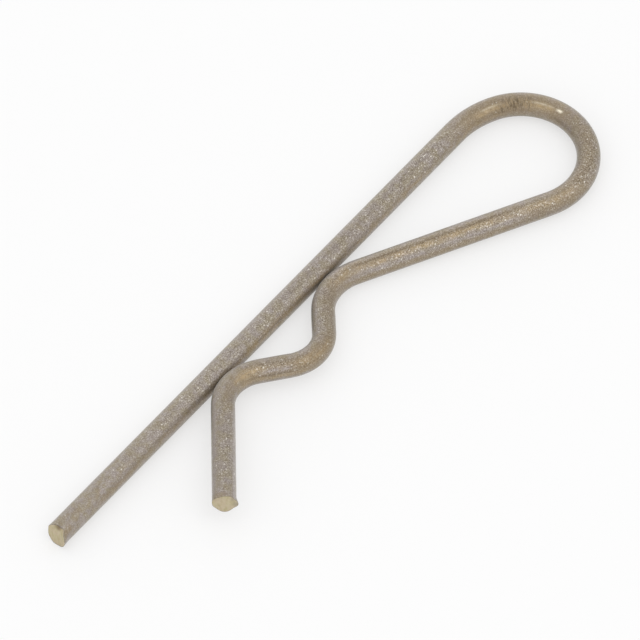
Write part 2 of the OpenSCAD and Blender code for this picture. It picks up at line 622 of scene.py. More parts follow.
@dataclass
class BentWire:
    """The wire of the pin: its straight leg, eye, return leg, humps, seat and free end.

    Attributes:
        wire_d: Diameter of the spring wire.
        thinning: Share that a tight bend draws the wire down by.
        leg_to_tip: Length of the straight leg from the shaft seat to its tip.
        leg_to_eye: Length of the straight leg from the shaft seat to the eye.
        eye_d: Inside diameter of the eye.
        lead_in_r: Inside radius of the bend where the leg runs into the eye.
        lead_in_angle: Angle of that bend.
        seat_h: Clear height under the arch over the shaft.
        seat_r: Inside radius of the arch.
        first_flank: Slope between the first hump and the arch.
        second_flank: Slope between the arch and the second hump.
        first_hump_r: Inside radius of the first hump.
        second_hump_r: Inside radius of the second hump.
        hump_gap: Gap where a hump rests against the leg.
        hump_ride: Height that the second hump has slipped up the leg.
        free_end_l: Straight length of the free end.
        free_end_angle: Angle between the free end and the leg.
        facets: Number of points round the wire.
        pitch: Longest step along the wire.
        end_l: Length at each end that is fed in finer steps, for the cutter to work on.
        end_pitch: Length of those finer steps.
        overrun: Spare wire beyond each cut, which the cutter takes off.
    """

    wire_d: float = 2.0 * mount_radius("straight_leg")
    thinning: float = 0.0125
    leg_to_tip: float = 27.3 * MM
    leg_to_eye: float = 25.9 * MM
    eye_d: float = 2.0 * mount_radius("eye")
    lead_in_r: float = 7.2 * MM
    lead_in_angle: float = math.radians(30.0)
    seat_h: float = 3.4 * MM
    seat_r: float = 2.4 * MM
    first_flank: float = math.radians(39.7)
    second_flank: float = math.radians(40.1)
    first_hump_r: float = 3.6 * MM
    second_hump_r: float = 2.7 * MM
    hump_gap: float = 0.03 * MM
    hump_ride: float = 0.5 * MM
    free_end_l: float = 10.7 * MM
    free_end_angle: float = math.radians(38.5)
    facets: int = 64
    pitch: float = 0.2 * MM
    end_l: float = 1.2 * MM
    end_pitch: float = 0.08 * MM
    overrun: float = 0.4 * MM

    def __post_init__(self) -> None:
        """Works out the radii on the wire's axis and the heights that the bends reach."""
        self.wire_r = self.wire_d / 2.0
        self.lead_in_axis_r = self.lead_in_r + self.wire_r
        self.eye_axis_r = self.eye_d / 2.0 + self.wire_r
        self.seat_axis_r = self.seat_r + self.wire_r
        self.first_axis_r = self.first_hump_r + self.wire_r
        self.second_axis_r = self.second_hump_r + self.wire_r
        self.contact = self.wire_d + self.hump_gap
        self.seat_crown = self.seat_h + self.wire_d

    def flank_l(self, rise: float, hump_axis_r: float, slope: float) -> float:
        """Length of straight wire between a hump and the arch.

        Args:
            rise: Height between the crowns of the two bends.
            hump_axis_r: Radius of the hump on the wire's axis.
            slope: Slope of the wire between them.

        Returns:
            The length that is left once both bends have taken their share.
        """
        taken = (hump_axis_r + self.seat_axis_r) * (1.0 - math.cos(slope))
        return (rise - taken) / math.sin(slope)

    def flank_run(self, rise: float, hump_axis_r: float, slope: float) -> float:
        """Distance along the leg between the crowns of a hump and the arch.

        Args:
            rise: Height between the crowns of the two bends.
            hump_axis_r: Radius of the hump on the wire's axis.
            slope: Slope of the wire between them.

        Returns:
            The distance, measured along the straight leg.
        """
        bends = (hump_axis_r + self.seat_axis_r) * math.sin(slope)
        return bends + self.flank_l(rise, hump_axis_r, slope) * math.cos(slope)

    def form(self, mesh: bmesh.types.BMesh) -> WireFormer:
        """Forms the wire from the leg tip to the free end.

        Args:
            mesh: Empty mesh that the wire is laid down in.

        Returns:
            The forming head, where it stands once the free end has gone through.
        """
        start = ALONG_LEG * (self.leg_to_tip + self.overrun)
        former = WireFormer(mesh, start, -ALONG_LEG, UP.copy(), self.wire_r,
                            self.facets, self.pitch, -self.overrun)
        lead_in_centre = Vector((-self.leg_to_eye, self.lead_in_axis_r, 0.0))
        lead_out = math.pi - self.lead_in_angle
        toward_eye = heading_vector(lead_out - math.pi / 2.0)
        eye_centre = lead_in_centre + toward_eye * (self.eye_axis_r - self.lead_in_axis_r)
        rise = self.seat_crown - self.contact
        first_run = self.flank_run(rise, self.first_axis_r, self.first_flank)
        first_centre = Vector((-first_run, self.contact + self.first_axis_r, 0.0))
        reach = first_centre - eye_centre
        apart = self.first_axis_r + self.eye_axis_r
        return_heading = math.atan2(reach.y, reach.x) - math.asin(apart / reach.length)
        return_l = math.sqrt(reach.length ** 2 - apart ** 2)

        former.feed(self.overrun + self.end_l, self.end_pitch)
        former.feed(self.leg_to_tip + self.leg_to_eye - self.end_l)
        former.bend(Turn.RIGHT, self.lead_in_axis_r, self.lead_in_angle, self.thinning / 2.0)
        former.bend(Turn.RIGHT, self.eye_axis_r, lead_out - return_heading, self.thinning)
        former.feed(return_l)
        return_end = former.place.copy()

        across = former.left()
        level_run = self.flank_run(rise, self.second_axis_r, self.second_flank)
        lift_arm = (Vector((level_run, self.contact, 0.0)) - return_end).dot(across)
        twist = math.asin(self.hump_ride / lift_arm)
        second_reach = (math.sqrt(self.contact ** 2 - self.hump_ride ** 2)
                        + lift_arm * (1.0 - math.cos(twist)) * math.cos(return_heading))
        second_rise = self.seat_crown - second_reach
        former.tilt_table(twist)
        former.bend(Turn.LEFT, self.first_axis_r, self.first_flank - return_heading, self.thinning)
        former.feed(self.flank_l(rise, self.first_axis_r, self.first_flank))
        former.bend(Turn.RIGHT, self.seat_axis_r, self.first_flank + self.second_flank,
                    self.thinning)
        former.feed(self.flank_l(second_rise, self.second_axis_r, self.second_flank))
        former.bend(Turn.LEFT, self.second_axis_r, self.second_flank + self.free_end_angle,
                    self.thinning)
        former.feed(self.free_end_l - self.end_l)
        former.feed(self.end_l + self.overrun, self.end_pitch)
        return former

    def cut_ends(self, mesh: bmesh.types.BMesh, former: WireFormer,
                 layer: bmesh.types.BMLayerItem) -> None:
        """Cuts both ends of the formed wire.

        Args:
            mesh: Mesh of the formed wire.
            former: Forming head, where the free end left it.
            layer: Layer that keeps each point's place in the straight wire.
        """
        tip = ShearedTip(ALONG_LEG * self.leg_to_tip, ALONG_LEG.copy(),
                         ALONG_LEG.cross(UP), UP.copy(), self.wire_r)
        tip.cut(mesh, layer, 0.0, -1)
        end_place = former.place - former.heading * self.overrun
        free_end = PinchedEnd(end_place, former.heading.copy(), former.left(),
                              former.table.copy(), self.wire_r)
        free_end.cut(mesh, layer, former.fed - self.overrun, 1)

    def mark(self, mesh: bmesh.types.BMesh, layer: bmesh.types.BMLayerItem,
             marks: tuple[WireMark, ...]) -> None:
        """Writes the marks on the wire into one mesh attribute for each kind.

        Args:
            mesh: Mesh of the finished wire.
            layer: Layer that keeps each point's place in the straight wire.
            marks: Marks to write.
        """
        for kind in Mark:
            kind_layer = mesh.verts.layers.float.new(kind.value)
            of_kind = [one for one in marks if one.kind is kind]
            for point in mesh.verts:
                left, up, fed = point[layer]
                values = [one.at(left, up, fed, self.wire_r) for one in of_kind]
                point[kind_layer] = max(values, default=0.0)

    def build(self, name: str, marks: tuple[WireMark, ...]) -> bpy.types.Object:
        """Builds the whole wire as one piece.

        Args:
            name: Name of the piece.
            marks: Marks painted on it: heat tint, chatter and dirt, and painted highlights and
                shade.

        Returns:
            The object, at the origin, with its place in its mesh.
        """
        mesh = bmesh.new()
        former = self.form(mesh)
        layer = former.weld()
        self.cut_ends(mesh, former, layer)
        bmesh.ops.recalc_face_normals(mesh, faces=mesh.faces)
        self.mark(mesh, layer, marks)
        for face in mesh.faces:
            face.smooth = True
        piece = put_in_scene(name, to_mesh_data(name, mesh))
        wire_l = former.fed - self.overrun
        LOG.info("%s: %.1f mm of wire, %d faces", name, wire_l / MM, len(piece.data.polygons))
        return piece


class NodeBench:
    """Small helper that lays out the nodes of one material.

    FLECK_CORE is the share of a fleck's radius, and of the flecks, at full strength.
    """

    FLECK_CORE = 0.4

    def __init__(self, name: str) -> None:
        """Starts a material that has only a Principled shader and its output.

        Args:
            name: Name of the material.
        """
        self.material = bpy.data.materials.new(name)
        self.material.use_nodes = True
        self.nodes = self.material.node_tree.nodes
        self.links = self.material.node_tree.links
        self.nodes.clear()
        self.output = self.nodes.new("ShaderNodeOutputMaterial")
        self.shader = self.nodes.new("ShaderNodeBsdfPrincipled")
        self.links.new(self.shader.outputs["BSDF"], self.output.inputs["Surface"])

    def attribute(self, name: str, output: str) -> Socket:
        """Reads a mesh attribute.

        Args:
            name: Name of the attribute.
            output: Output of the node: Vector for a place, Fac for a strength.

        Returns:
            That output.
        """
        node = self.nodes.new("ShaderNodeAttribute")
        node.attribute_name = name
        return node.outputs[output]

    def mark(self, kind: Mark) -> Socket:
        """Strength of a kind of mark."""
        return self.attribute(kind.value, "Fac")

    def mapping(self, place: Socket, scale: tuple | None) -> Socket:
        """Stretches a place before a pattern reads it.

        Args:
            place: Place to stretch.
            scale: How much closer the pattern lies to the left, up and along the wire, if
                it isn't the same all ways.

        Returns:
            The place that the pattern reads.
        """
        if scale is None:
            return place
        node = self.nodes.new("ShaderNodeMapping")
        node.inputs["Scale"].default_value = scale
        self.links.new(place, node.inputs["Vector"])
        return node.outputs["Vector"]

    def noise(self, place: Socket, size: float, detail: float,
              scale: tuple | None = None) -> Socket:
        """Soft noise with features of about a size.

        Args:
            place: Place of each point in the pattern.
            size: Size of its largest features, in metres.
            detail: Number of finer layers.
            scale: Stretch of the place, as mapping takes it.

        Returns:
            Value of the noise, about 0.5.
        """
        node = self.nodes.new("ShaderNodeTexNoise")
        node.inputs["Scale"].default_value = 1.0 / size
        node.inputs["Detail"].default_value = detail
        self.links.new(self.mapping(place, scale), node.inputs["Vector"])
        return node.outputs["Fac"]

    def flecks(self, place: Socket, size: float, share: float, reach: float,
               scale: tuple | None = None) -> Socket:
        """Scattered round flecks, a few of a field of cells.

        Args:
            place: Place of each point in the pattern.
            size: Size of a cell, in metres.
            share: Share of the cells that have a fleck.
            reach: Radius of a fleck, in cells.
            scale: Stretch of the place, as mapping takes it.

        Returns:
            Strength of the flecks, from 0 to 1.
        """
        cells = self.nodes.new("ShaderNodeTexVoronoi")
        cells.inputs["Scale"].default_value = 1.0 / size
        self.links.new(self.mapping(place, scale), cells.inputs["Vector"])
        spot = self.ramp(cells.outputs["Distance"], reach, self.FLECK_CORE * reach)
        pick = self.nodes.new("ShaderNodeSeparateColor")
        self.links.new(cells.outputs["Color"], pick.inputs["Color"])
        chosen = self.ramp(pick.outputs["Red"], 1.0 - share, 1.0 - self.FLECK_CORE * share)
        return self.times(spot, chosen)

    def ramp(self, value: Socket, low: float, high: float,
             low_to: float = 0.0, high_to: float = 1.0) -> Socket:
        """Maps a value between two levels to a new range, clamped.

        Args:
            value: Value to map.
            low: First level.
            high: Second level, which may be the lower one.
            low_to: What the first level becomes.
            high_to: What the second level becomes.

        Returns:
            The mapped value.
        """
        node = self.nodes.new("ShaderNodeMapRange")
        node.inputs["From Min"].default_value = low
        node.inputs["From Max"].default_value = high
        node.inputs["To Min"].default_value = low_to
        node.inputs["To Max"].default_value = high_to
        self.links.new(value, node.inputs["Value"])
        return node.outputs["Result"]

    def maths(self, operation: str, first: Socket, second: Socket | float) -> Socket:
        """Combines two values, or a value and a number.

        Args:
            operation: How, as the node names it.
            first: First value.
            second: Second value, or a number.

        Returns:
            The combined value.
        """
        node = self.nodes.new("ShaderNodeMath")
        node.operation = operation
        self.links.new(first, node.inputs[0])
        if isinstance(second, float):
            node.inputs[1].default_value = second
        else:
            self.links.new(second, node.inputs[1])
        return node.outputs[0]

    def times(self, first: Socket, second: Socket | float) -> Socket:
        """Multiplies two values, or a value by a number."""
        return self.maths("MULTIPLY", first, second)

    def mix(self, share: Socket, first: Socket | tuple, second: Socket | tuple) -> Socket:
        """Mixes two colours.

        Args:
            share: How much of the second colour shows.
            first: Colour below, as a socket or as red, green and blue.
            second: Colour on top.

        Returns:
            The mixed colour.
        """
        node = self.nodes.new("ShaderNodeMix")
        node.data_type = "RGBA"
        self.links.new(share, node.inputs["Factor"])
        for name, colour in (("A", first), ("B", second)):
            socket = [one for one in node.inputs if one.name == name and one.type == "RGBA"][0]
            if isinstance(colour, tuple):
                socket.default_value = (*colour, 1.0)
            else:
                self.links.new(colour, socket)
        return [one for one in node.outputs if one.type == "RGBA"][0]

    def coats(self, colour: Socket, *coats: tuple) -> Socket:
        """Lays coats over a colour.

        Args:
            colour: Colour below them all.
            coats: Coats from the lowest up, each as how much of it shows and its colour.

        Returns:
            The colour with its coats.
        """
        for share, tint in coats:
            colour = self.mix(share, colour, tint)
        return colour

    def bump(self, height: Socket, depth: float, strength: float,
             below: Socket | None = None) -> Socket:
        """Relief from a height.

        Args:
            height: Height of the relief, from 0 to 1.
            depth: Depth of the relief, in metres.
            strength: Strength of the relief.
            below: Relief that this one lies on, if there is one.

        Returns:
            The normal that the shader reads.
        """
        node = self.nodes.new("ShaderNodeBump")
        node.inputs["Distance"].default_value = depth
        node.inputs["Strength"].default_value = strength
        self.links.new(height, node.inputs["Height"])
        if below is not None:
            self.links.new(below, node.inputs["Normal"])
        return node.outputs["Normal"]

    def into(self, name: str, socket: Socket) -> None:
        """Links a value into an input of the shader."""
        self.links.new(socket, self.shader.inputs[name])


def srgb(red: int, green: int, blue: int) -> tuple:
    """Linear colour of a display colour.

    Args:
        red: Its red, from 0 to 255.
        green: Its green, from 0 to 255.
        blue: Its blue, from 0 to 255.

    Returns:
        Its linear red, green and blue, from 0 to 1.
    """
    def channel(value: int) -> float:
        """Linear value of one channel."""
        share = value / 255.0
        return share / 12.92 if share <= 0.04045 else ((share + 0.055) / 1.055) ** 2.4
    return channel(red), channel(green), channel(blue)


@dataclass(frozen=True)
class SpringWireFinish:
    """Dull drawn steel: fine dark grain and painted glints on taupe, with painted straw
    highlights, pale highlight bands and painted shade.

    Attributes:
        steel: Colour of the bare dull wire.
        violet: Colour of its cooler patches.
        olive: Colour of its warmer patches.
        tan: Colour that the heat of stress relief left on the bends.
        straw: Colour where a bending pin has rubbed it.
        pale_violet: Colour of the painted pale highlight bands, and of the cooler patches of the
            calm mottle.
        dark_dirt_and_shade: Colour of the dirt, and of the painted shade in the dark lines and the
            contact shadows.
        gleam: Colour of the painted highlight streaks and the painted glint on the eye.
        rim: Colour of the soft shine on the sides that turn away.
        pit: Colour of the dark grain.
        glint: Colour of the painted glints, pale flecks in the grain that stand in for light off
            its facets.
        grain: Size of the grain.
        cloud: Size of the cool and warm patches.
        mottle: Size of the smaller patches, where the grain is calm.
        streak: Width of the drawing streaks.
        tatter: Size of the gaps in the painted highlights and pale bands.
        crowd: Size of the patches where the open grain crowds.
        stroke: Width of a stroke of chatter.
        break_size: Size of the breaks in a painted highlight streak.
        line: Width of a drawing line in the relief.
        grain_depth: Depth of the grain in the relief.
        line_depth: Depth of those lines.
        sheen: Strength of the soft shine.
        sheen_spread: Roughness of that shine.
        metal: How much of it shines as metal.
        roughness: Roughness between the grain.
    """

    steel: tuple = srgb(157, 147, 134)
    violet: tuple = srgb(158, 148, 142)
    olive: tuple = srgb(153, 142, 122)
    tan: tuple = srgb(149, 132, 106)
    straw: tuple = srgb(182, 159, 122)
    pale_violet: tuple = srgb(172, 162, 159)
    dark_dirt_and_shade: tuple = srgb(92, 76, 56)
    gleam: tuple = srgb(255, 246, 224)
    rim: tuple = srgb(226, 232, 232)
    pit: tuple = srgb(92, 78, 60)
    glint: tuple = srgb(250, 245, 234)
    grain: float = 0.085 * MM
    cloud: float = 0.85 * MM
    mottle: float = 0.36 * MM
    streak: float = 0.22 * MM
    tatter: float = 0.3 * MM
    crowd: float = 0.8 * MM
    stroke: float = 0.13 * MM
    break_size: float = 0.18 * MM
    line: float = 0.2 * MM
    grain_depth: float = 0.014 * MM
    line_depth: float = 0.01 * MM
    sheen: float = 0.5
    sheen_spread: float = 0.4
    metal: float = 0.75
    roughness: float = 0.48

    def material(self) -> bpy.types.Material:
        """Builds the material of the wire.

        Returns:
            The material.
        """
        bench = NodeBench("spring_wire_finish")
        place = bench.attribute(STRAIGHT_PLACE, "Vector")
        grain = bench.noise(place, self.grain, 1.0, (0.8, 0.8, 1.0))
        # painted highlight streaks and glint, broken up, and made smoother in the roughness
        streak_breaks = bench.noise(place, self.break_size, 2.0, (1.0, 1.0, 0.5))
        gleam = bench.times(bench.mark(Mark.GLEAM), bench.ramp(streak_breaks, 0.36, 0.56, 0.5, 1.0))
        grained = self._grained(bench, place, grain, self._tint(bench, place))
        # painted glint and highlight streaks, then dirt and painted shade over the grained colour
        bench.into("Base Color", bench.coats(grained, (gleam, self.gleam),
                                             (bench.mark(Mark.GRIME_AND_SHADE), self.dark_dirt_and_shade)))
        dull = bench.ramp(grain, 0.3, 0.7, self.roughness + 0.1, self.roughness - 0.1)
        bench.into("Roughness", bench.maths("SUBTRACT", dull, bench.times(gleam, 0.2)))
        lines = bench.noise(place, self.line, 2.0, (1.0, 1.0, 0.05))
        bench.into("Normal", bench.bump(grain, self.grain_depth, 0.7,
                                        bench.bump(lines, self.line_depth, 0.35)))
        bench.shader.inputs["Metallic"].default_value = self.metal
        bench.shader.inputs["Sheen Weight"].default_value = self.sheen
        bench.shader.inputs["Sheen Roughness"].default_value = self.sheen_spread
        bench.shader.inputs["Sheen Tint"].default_value = (*self.rim, 1.0)
        return bench.material

    def _tint(self, bench: NodeBench, place: Socket) -> Socket:
        """Colour of the wire under its grain.

        Args:
            bench: Bench of the wire's material.
            place: Place of each point in the straight wire.

        Returns:
            The colour: soft patches and drawing streaks, then the heat tint, the painted pale
                highlight bands and the painted straw highlights.
        """
        clouds = bench.noise(place, self.cloud, 3.0)
        streaks = bench.noise(place, self.streak, 2.0, (1.0, 1.0, 0.06))
        mottle = bench.noise(place, self.mottle, 2.5, (1.0, 1.0, 0.7))
        tatters = bench.noise(place, self.tatter, 3.0, (1.0, 1.0, 0.35))
        calm = bench.ramp(bench.mark(Mark.SPARK), 0.15, 0.7, 1.0, 0.15)
        patchy = bench.ramp(tatters, 0.36, 0.6, 0.25, 1.0)
        return bench.coats(
            bench.mix(bench.ramp(clouds, 0.4, 0.6), self.violet, self.olive),
            (bench.ramp(streaks, 0.35, 0.7, 0.0, 0.45), self.steel),
            (bench.times(bench.ramp(mottle, 0.5, 0.34, 0.0, 0.42), calm), self.tan),
            (bench.times(bench.ramp(mottle, 0.5, 0.66, 0.0, 0.36), calm), self.pale_violet),
            (bench.mark(Mark.TEMPER), self.tan),
            # painted pale highlight bands
            (bench.times(bench.mark(Mark.BLOOM), patchy), self.pale_violet),
            # painted straw highlights and reflections
            (bench.times(bench.mark(Mark.STRAW), patchy), self.straw),
        )

    def _grained(self, bench: NodeBench, place: Socket, grain: Socket,
                 colour: Socket) -> Socket:
        """Lays grain, chatter and painted glints on the colour of the wire.

        Args:
            bench: Bench of the wire's material.
            place: Place of each point in the straight wire.
            grain: Noise of the finest grain, which is all over the wire.
            colour: Colour under the grain.

        Returns:
            The colour: fine grain, strokes of chatter, then open pits and painted glints where the
            wire was stretched, and the few painted glints that are larger.
        """
        crowd = bench.ramp(bench.noise(place, self.crowd, 1.0), 0.35, 0.6, 0.65, 1.0)
        spark = bench.times(bench.ramp(bench.mark(Mark.SPARK), 0.0, 1.0, 0.12, 1.0), crowd)
        fine = bench.ramp(spark, 0.0, 0.7, 0.35, 1.0)
        chatter = bench.mark(Mark.CHATTER)
        strokes = bench.noise(place, self.stroke, 1.0, (0.25, 0.25, 1.0))
        pits = bench.flecks(place, 1.7 * self.grain, 0.6, 0.46)
        # painted glints: pale flecks that stand in for light off the grain's facets
        glints = bench.flecks(place, 1.7 * self.grain, 0.42, 0.42, (0.75, 0.75, 1.0))
        # a few larger painted glints
        stars = bench.flecks(place, 2.5 * self.grain, 0.08, 0.38, (1.0, 1.0, 0.8))
        return bench.coats(
            colour,
            (bench.times(bench.ramp(grain, 0.5, 0.3, 0.0, 0.38), fine), self.pit),
            # bright side of the fine grain, in the colour of the painted glints
            (bench.times(bench.ramp(grain, 0.5, 0.7, 0.0, 0.3), fine), self.glint),
            (bench.times(bench.ramp(strokes, 0.5, 0.36), chatter), self.pit),
            (bench.times(bench.ramp(strokes, 0.56, 0.72, 0.0, 0.7), chatter), self.straw),
            (bench.times(bench.times(pits, spark), 0.95), self.pit),
            (bench.times(bench.times(glints, spark), 0.8), self.glint),
            (bench.times(stars, bench.ramp(spark, 0.1, 0.6, 0.35, 0.8)), self.glint),
        )


@dataclass(frozen=True)
class CutFaceFinish:
    """Bare sheared steel: khaki, mottled, with faint drag lines, and dirt and painted shade at the
    rim.

    Attributes:
        bare: Colour of the fresh face.
        rose: Colour of its warmer patches.
        olive: Colour of its greener patches.
        torn: Colour in the drag lines.
        grime_and_dent_shade: Colour of the dirt on the cut faces, and of the painted shade in the
            cutter's dent at the rim of the tip.
        skin: Colour of the wire's own skin, where the cutter dragged it over the edge.
        cloud: Size of the warmer and greener patches.
        drag: Width of the drag lines.
        cloud_depth: Depth of the patches in the relief.
        drag_depth: Depth of the drag lines in the relief.
        metal: How much of it shines as metal.
        roughness: Roughness of the face.
    """

    bare: tuple = srgb(192, 181, 152)
    rose: tuple = srgb(190, 175, 148)
    olive: tuple = srgb(181, 170, 134)
    torn: tuple = srgb(172, 159, 128)
    grime_and_dent_shade: tuple = srgb(112, 92, 64)
    skin: tuple = srgb(152, 143, 134)
    cloud: float = 0.6 * MM
    drag: float = 0.2 * MM
    cloud_depth: float = 0.03 * MM
    drag_depth: float = 0.012 * MM
    metal: float = 0.55
    roughness: float = 0.5

    def material(self) -> bpy.types.Material:
        """Builds the material of the cut faces.

        Returns:
            The material.
        """
        bench = NodeBench("cut_face_finish")
        place = bench.attribute(STRAIGHT_PLACE, "Vector")
        clouds = bench.noise(place, self.cloud, 2.0)
        drag = bench.noise(place, self.drag, 3.0, (1.0, 0.3, 1.0))
        bench.into("Base Color", bench.coats(
            bench.mix(bench.ramp(clouds, 0.42, 0.58), self.rose, self.olive),
            (bench.ramp(drag, 0.4, 0.65, 0.0, 0.6), self.bare),
            (bench.ramp(drag, 0.48, 0.3, 0.0, 0.4), self.torn),
            # the wire's skin beside the burr, which the mark of the painted pale bands also
            # carries
            (bench.mark(Mark.BLOOM), self.skin),
            # dirt, and painted shade in the dent at the tip
            (bench.mark(Mark.GRIME_AND_SHADE), self.grime_and_dent_shade),
        ))
        bench.into("Roughness", bench.ramp(drag, 0.3, 0.7, self.roughness + 0.1,
                                           self.roughness - 0.1))
        bench.into("Normal", bench.bump(clouds, self.cloud_depth, 0.5,
                                        bench.bump(drag, self.drag_depth, 0.25)))
        bench.shader.inputs["Metallic"].default_value = self.metal
        return bench.material


@dataclass(frozen=True)
class TableFinish:
    """Matt white paper: the camera sees it white, and it still takes the shadow.

    Attributes:
        paper: Colour of the paper under the lamps.
        shade: Colour of its faint darker grain.
        glow: How much of its white the paper gives off by itself, to the camera, in a
            shine and through glass.
        grain: Size of that grain.
        grain_depth: Depth of that grain in the relief.
        roughness: Roughness of the paper.
        shine: Level of its shine.
    """

    paper: tuple = (0.94, 0.94, 0.94)
    shade: tuple = (0.92, 0.92, 0.92)
    glow: float = 0.55
    grain: float = 2.0 * MM
    grain_depth: float = 0.02 * MM
    roughness: float = 0.9
    shine: float = 0.1

    def material(self) -> bpy.types.Material:
        """Builds the material of the table.

        Returns:
            The material.
        """
        bench = NodeBench("white_table_finish")
        place = bench.nodes.new("ShaderNodeTexCoord").outputs["Object"]
        grain = bench.noise(place, self.grain, 3.0)
        bench.into("Base Color", bench.mix(bench.ramp(grain, 0.3, 0.7, 0.0, 0.2),
                                           self.paper, self.shade))
        bench.into("Normal", bench.bump(grain, self.grain_depth, 0.1))
        bench.shader.inputs["Roughness"].default_value = self.roughness
        bench.shader.inputs["Specular IOR Level"].default_value = self.shine
        path = bench.nodes.new("ShaderNodeLightPath")
        seen = bench.maths("MAXIMUM", path.outputs["Is Camera Ray"], path.outputs["Is Glossy Ray"])
        seen = bench.maths("MAXIMUM", seen, path.outputs["Is Transmission Ray"])
        glow = bench.nodes.new("ShaderNodeEmission")
        mixer = bench.nodes.new("ShaderNodeMixShader")
        bench.links.new(bench.times(seen, self.glow), mixer.inputs[0])
        bench.links.new(bench.shader.outputs["BSDF"], mixer.inputs[1])
        bench.links.new(glow.outputs[0], mixer.inputs[2])
        bench.links.new(mixer.outputs[0], bench.output.inputs["Surface"])
        return bench.material


@dataclass(frozen=True)
class SoftLamp:
    """A square soft lamp that faces the pin.

    Attributes:
        name: Name of the lamp.
        place: Where it hangs.
        power: Its power, in watts.
        width: Width of its square screen.
    """

    name: str
    place: tuple[float, float, float]
    power: float
    width: float = 0.6

    def hang(self) -> bpy.types.Object:
        """Hangs the lamp and turns it to the pin.

        Returns:
            The lamp's object.
        """
        lamp = bpy.data.lights.new(self.name, "AREA")
        lamp.shape = "SQUARE"
        lamp.size = self.width
        lamp.energy = self.power
        hung = put_in_scene(self.name, lamp)
        hung.location = self.place
        hung.rotation_euler = (-Vector(self.place)).to_track_quat("-Z", "Y").to_euler()
        return hung


@dataclass
class Studio:
    """The table that the pin lies on, and the soft light round it.

    Attributes:
        table_r: Radius of the round table top.
        table_sides: Number of sides that the round top is made of.
        tent_level: Level of the light that comes evenly from all round.
        lamps: Soft lamps: a high one beside the formed leg, and low ones behind the pin and
            before its ends.
    """

    table_r: float = 1.2
    table_sides: int = 96
    tent_level: float = 0.92
    lamps: tuple[SoftLamp, ...] = (
        SoftLamp("high_lamp", (-0.15, 0.45, 0.75), 0.6),
        SoftLamp("back_lamp", (-0.65, -0.55, 0.22), 0.7),
        SoftLamp("front_lamp", (0.8, 0.25, 0.25), 0.8),
    )

    def lay_table(self, height: float) -> bpy.types.Object:
        """Lays the table under the pin.

        Args:
            height: Height of the table top.

        Returns:
            The table top.
        """
        mesh = bmesh.new()
        bmesh.ops.create_circle(
            mesh, cap_ends=True, segments=self.table_sides, radius=self.table_r
        )
        bmesh.ops.translate(mesh, vec=(0.0, 0.0, height), verts=mesh.verts)
        table = put_in_scene("table_top", to_mesh_data("table_top", mesh))
        table.data.materials.append(TableFinish().material())
        LOG.info("table_top: round top at %.2f mm", height / MM)
        return table

    def light(self) -> None:
        """Hangs the soft lamps and lights the tent."""
        world = bpy.data.worlds.new("light_tent")
        bpy.context.scene.world = world
        world.use_nodes = True
        tree = world.node_tree
        tree.nodes.clear()
        output = tree.nodes.new("ShaderNodeOutputWorld")
        tent = tree.nodes.new("ShaderNodeBackground")
        tent.inputs["Color"].default_value = (1.0, 1.0, 1.0, 1.0)
        tent.inputs["Strength"].default_value = self.tent_level
        seen = tree.nodes.new("ShaderNodeBackground")
        seen.inputs["Color"].default_value = (1.0, 1.0, 1.0, 1.0)
        path = tree.nodes.new("ShaderNodeLightPath")
        mixer = tree.nodes.new("ShaderNodeMixShader")
        tree.links.new(path.outputs["Is Camera Ray"], mixer.inputs[0])
        tree.links.new(tent.outputs[0], mixer.inputs[1])
        tree.links.new(seen.outputs[0], mixer.inputs[2])
        tree.links.new(mixer.outputs[0], output.inputs["Surface"])
        for lamp in self.lamps:
            lamp.hang()


@dataclass
class ViewPoint:
    """Where the camera stands, and how it looks at the pin.

    Attributes:
        azimuth: Direction of the camera, from +X towards +Y, in radians.
        elevation: Height of the camera over the table, in radians.
        distance: Distance to the point that it looks at.
        looks_at: Point that it looks at.
        field_w: Width that it sees at that point.
        sensor_w: Width of its sensor, in millimetres.
        nearest: Distance that it sees from.
        farthest: Distance that it sees to.
    """

    azimuth: float = math.radians(37.61)
    elevation: float = math.radians(51.41)
    distance: float = 1148.0 * MM
    looks_at: Vector = field(default_factory=lambda: Vector((-3.33, 3.29, 0.0)) * MM)
    field_w: float = 52.4 * MM
    sensor_w: float = 36.0
    nearest: float = 0.05
    farthest: float = 20.0

    def place_camera(self) -> bpy.types.Object:
        """Places the camera and makes it the scene's own.

        Returns:
            The camera's object.
        """
        flat = heading_vector(self.azimuth) * math.cos(self.elevation)
        toward = flat + UP * math.sin(self.elevation)
        data = bpy.data.cameras.new("view_point")
        data.sensor_width = self.sensor_w
        data.lens = self.sensor_w * self.distance / self.field_w
        data.clip_start = self.nearest
        data.clip_end = self.farthest
        camera = put_in_scene("view_point", data)
        camera.location = self.looks_at + toward * self.distance
        camera.rotation_euler = toward.to_track_quat("Z", "Y").to_euler()
        bpy.context.scene.camera = camera
        return camera


def marks_of(kind: Mark, *places: tuple) -> tuple[WireMark, ...]:
    """Marks of one kind on the wire.

    Args:
        kind: Kind of the marks.
        places: For each mark how far its middle is along the wire, its direction round the
            wire in degrees, half its length, half its width and its strength. Lengths are
            in millimetres.

    Returns:
        The marks, in metres.
    """
    return tuple(
        WireMark(kind, along * MM, angle, half_l * MM, half_w * MM, strength)
        for along, angle, half_l, half_w, strength in places
    )


